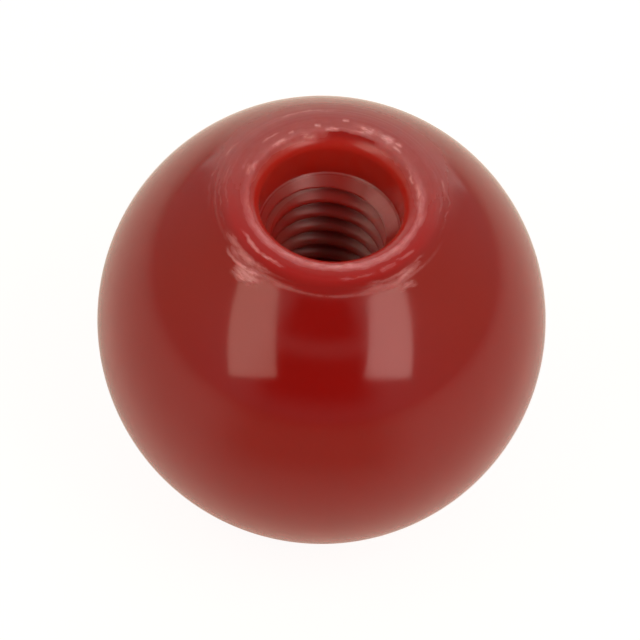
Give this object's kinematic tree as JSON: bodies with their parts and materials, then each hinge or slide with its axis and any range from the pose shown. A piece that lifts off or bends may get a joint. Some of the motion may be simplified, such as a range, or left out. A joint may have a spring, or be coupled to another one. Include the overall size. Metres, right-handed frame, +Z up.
{
  "type": "ball knob",
  "caption": "Round plastic ball knob with a turned collar, a lipped recess and a blind threaded hole that screws onto a lever or stud.",
  "frame": {"origin": "lowest point of the ball, opposite the hole", "axes": "+Z up the axis of the hole, out of its mouth; X and Y lie across the ball, which is round about Z"},
  "size_m": [0.02, 0.02, 0.0189],
  "materials": {
    "moulded_plastic": "glossy moulded thermoset, deep red, with scuffed turning marks on the collar"
  },
  "bodies": {
    "root": {"ball_knob": "moulded_plastic"}
  },
  "joints": []
}
